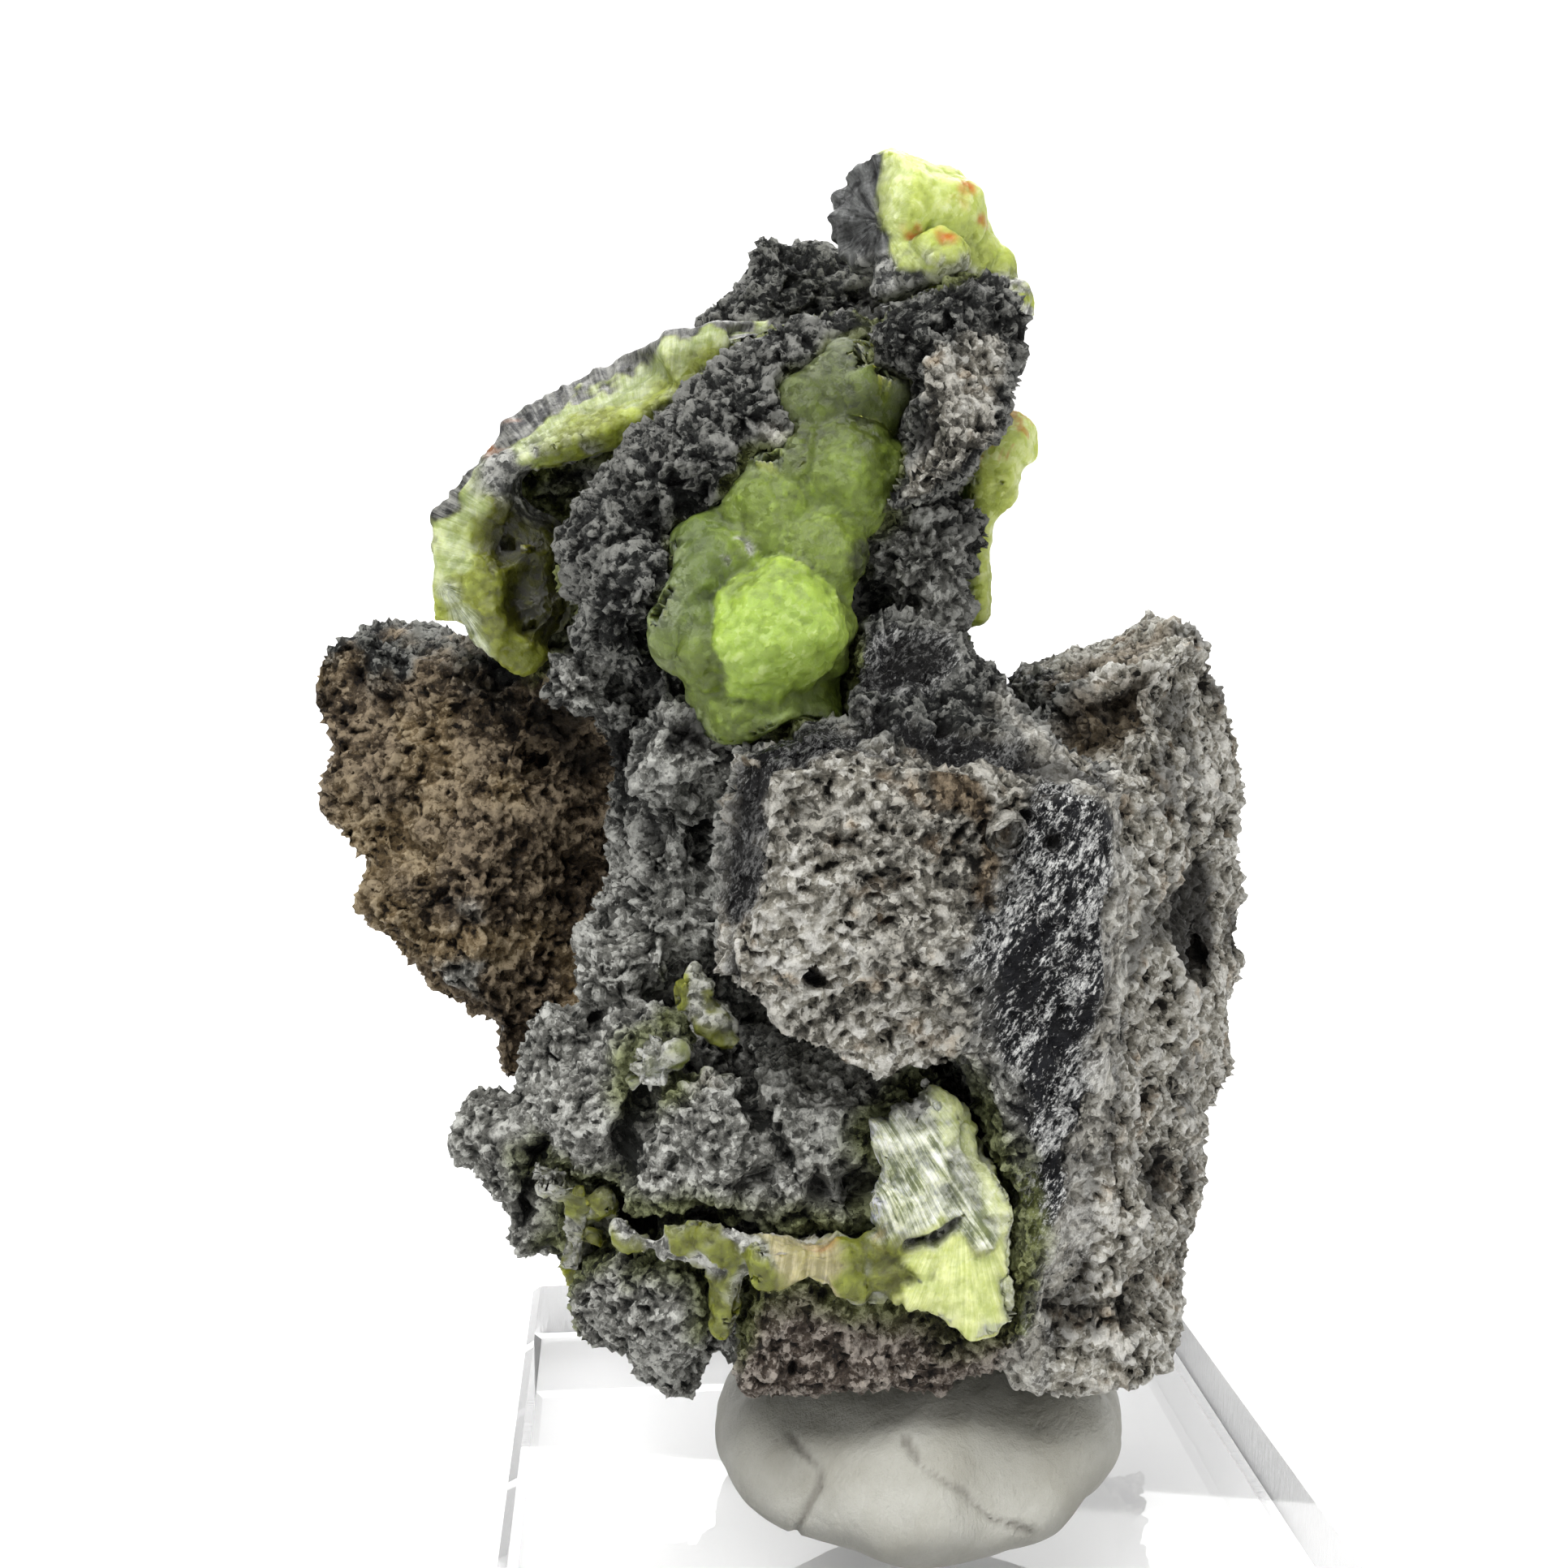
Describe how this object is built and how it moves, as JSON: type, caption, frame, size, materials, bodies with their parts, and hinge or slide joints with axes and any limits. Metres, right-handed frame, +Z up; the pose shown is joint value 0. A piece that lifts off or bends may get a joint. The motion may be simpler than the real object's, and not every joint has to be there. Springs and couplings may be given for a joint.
{
  "type": "wavellite specimen",
  "caption": "Yellow-green wavellite balls and fibrous crusts on broken grey chert rock, pressed into a putty foot on a clear acrylic block.",
  "frame": {"origin": "centre of the acrylic block's underside", "axes": "+Z up out of the block, +X to the specimen's right as it is shown, +Y away from the side that is shown"},
  "size_m": [0.0399, 0.032, 0.0605],
  "materials": {
    "rock": "rough, granular, with black glassy chips",
    "wavellite_bright": "translucent, waxy to vitreous",
    "wavellite_pale": "silky, fibrous",
    "wavellite_olive": "translucent, waxy",
    "putty": "dull, smooth, finely cracked",
    "clear_acrylic": "clear, top polished, edges sawn and frosted"
  },
  "bodies": {
    "root": {"matrix_rock": "rock", "crown_wavellite": "wavellite_bright", "ridge_wavellite": "wavellite_pale", "central_wavellite": "wavellite_bright", "side_wavellite": "wavellite_bright", "front_wavellite": "wavellite_pale", "corner_wavellite": "wavellite_olive", "cleft_wavellite": "wavellite_olive", "shoulder_wavellite": "wavellite_olive", "putty_foot": "putty", "display_block": "clear_acrylic"}
  },
  "joints": []
}
